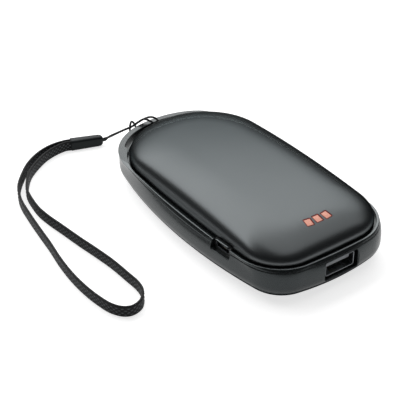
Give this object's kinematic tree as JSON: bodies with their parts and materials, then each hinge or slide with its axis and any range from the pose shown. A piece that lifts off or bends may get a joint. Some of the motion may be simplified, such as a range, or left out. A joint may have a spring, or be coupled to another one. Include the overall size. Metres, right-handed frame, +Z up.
{
  "type": "rechargeable hand warmer",
  "caption": "Rounded palm-sized rechargeable hand warmer with charging sockets, indicator lights, a strap slot and a woven wrist strap.",
  "frame": {"origin": "middle of the underside of the casing, on the surface that it rests on", "axes": "+X towards the side with the power button, +Y towards the strap bar, +Z up through the top cover"},
  "size_m": [0.1069, 0.1365, 0.0236],
  "materials": {
    "cover_paint": "satin dark grey paint on aluminium",
    "frame_plastic": "fine satin moulded plastic, near black",
    "adhesive": "thin adhesive tape",
    "light_window": "translucent window lit from inside",
    "button_plastic": "satin moulded plastic",
    "plated_steel": "bright plated sheet",
    "black_plastic": "moulded plastic",
    "grey_plastic": "moulded plastic, mid grey",
    "gold_contacts": "gold plated",
    "circuit_board": "green solder mask",
    "ferrite": "dull pressed ferrite",
    "tan_ceramic": "fired ceramic",
    "led_glow": "clear encapsulant",
    "cell_foil": "laminated pouch foil",
    "foam": "closed-cell foam",
    "heater_film": "amber film",
    "red_wire": "wire insulation",
    "black_wire": "wire insulation",
    "thin_cord": "braided thin cord",
    "bead_plastic": "moulded plastic clamp",
    "woven_strap": "woven flat band"
  },
  "bodies": {
    "casing": {"top_cover": "cover_paint", "mid_frame": "frame_plastic", "bottom_cover": "cover_paint", "top_adhesive": "adhesive", "bottom_adhesive": "adhesive", "light_pipe": "light_window", "switch_body": "plated_steel", "usb_a_shell": "plated_steel", "usb_a_tongue": "grey_plastic", "usb_a_contacts": "gold_contacts", "micro_usb_shell": "plated_steel", "micro_usb_tongue": "black_plastic", "micro_usb_contacts": "gold_contacts", "main_pcb": "circuit_board", "pcb_screws": "plated_steel", "power_chip": "black_plastic", "control_chip": "black_plastic", "inductor": "ferrite", "capacitors": "tan_ceramic", "status_leds": "led_glow", "lower_cell": "cell_foil", "upper_cell": "cell_foil", "cell_tabs": "gold_contacts", "lower_foam": "foam", "upper_foam": "foam", "top_heater": "heater_film", "bottom_heater": "heater_film", "thermistor": "black_plastic", "battery_lead_red": "red_wire", "battery_lead_black": "black_wire", "heater_leads": "red_wire", "strap_cord": "thin_cord", "strap_bead": "bead_plastic", "wrist_strap": "woven_strap"},
    "button": {"power_button": "button_plastic"},
    "plunger": {"switch_plunger": "black_plastic"}
  },
  "joints": [
    {"name": "button_press", "type": "slide", "parent": "casing", "child": "button", "axis": [-1, 0, 0], "range_m": [0, 0.0005], "stiffness_N_per_m": 600},
    {"name": "plunger_press", "type": "slide", "parent": "casing", "child": "plunger", "axis": [-1, 0, 0], "range_m": [0, 0.0006]}
  ],
  "couplings": [
    {"joint": "plunger_press", "follows": "button_press", "ratio": 1}
  ]
}
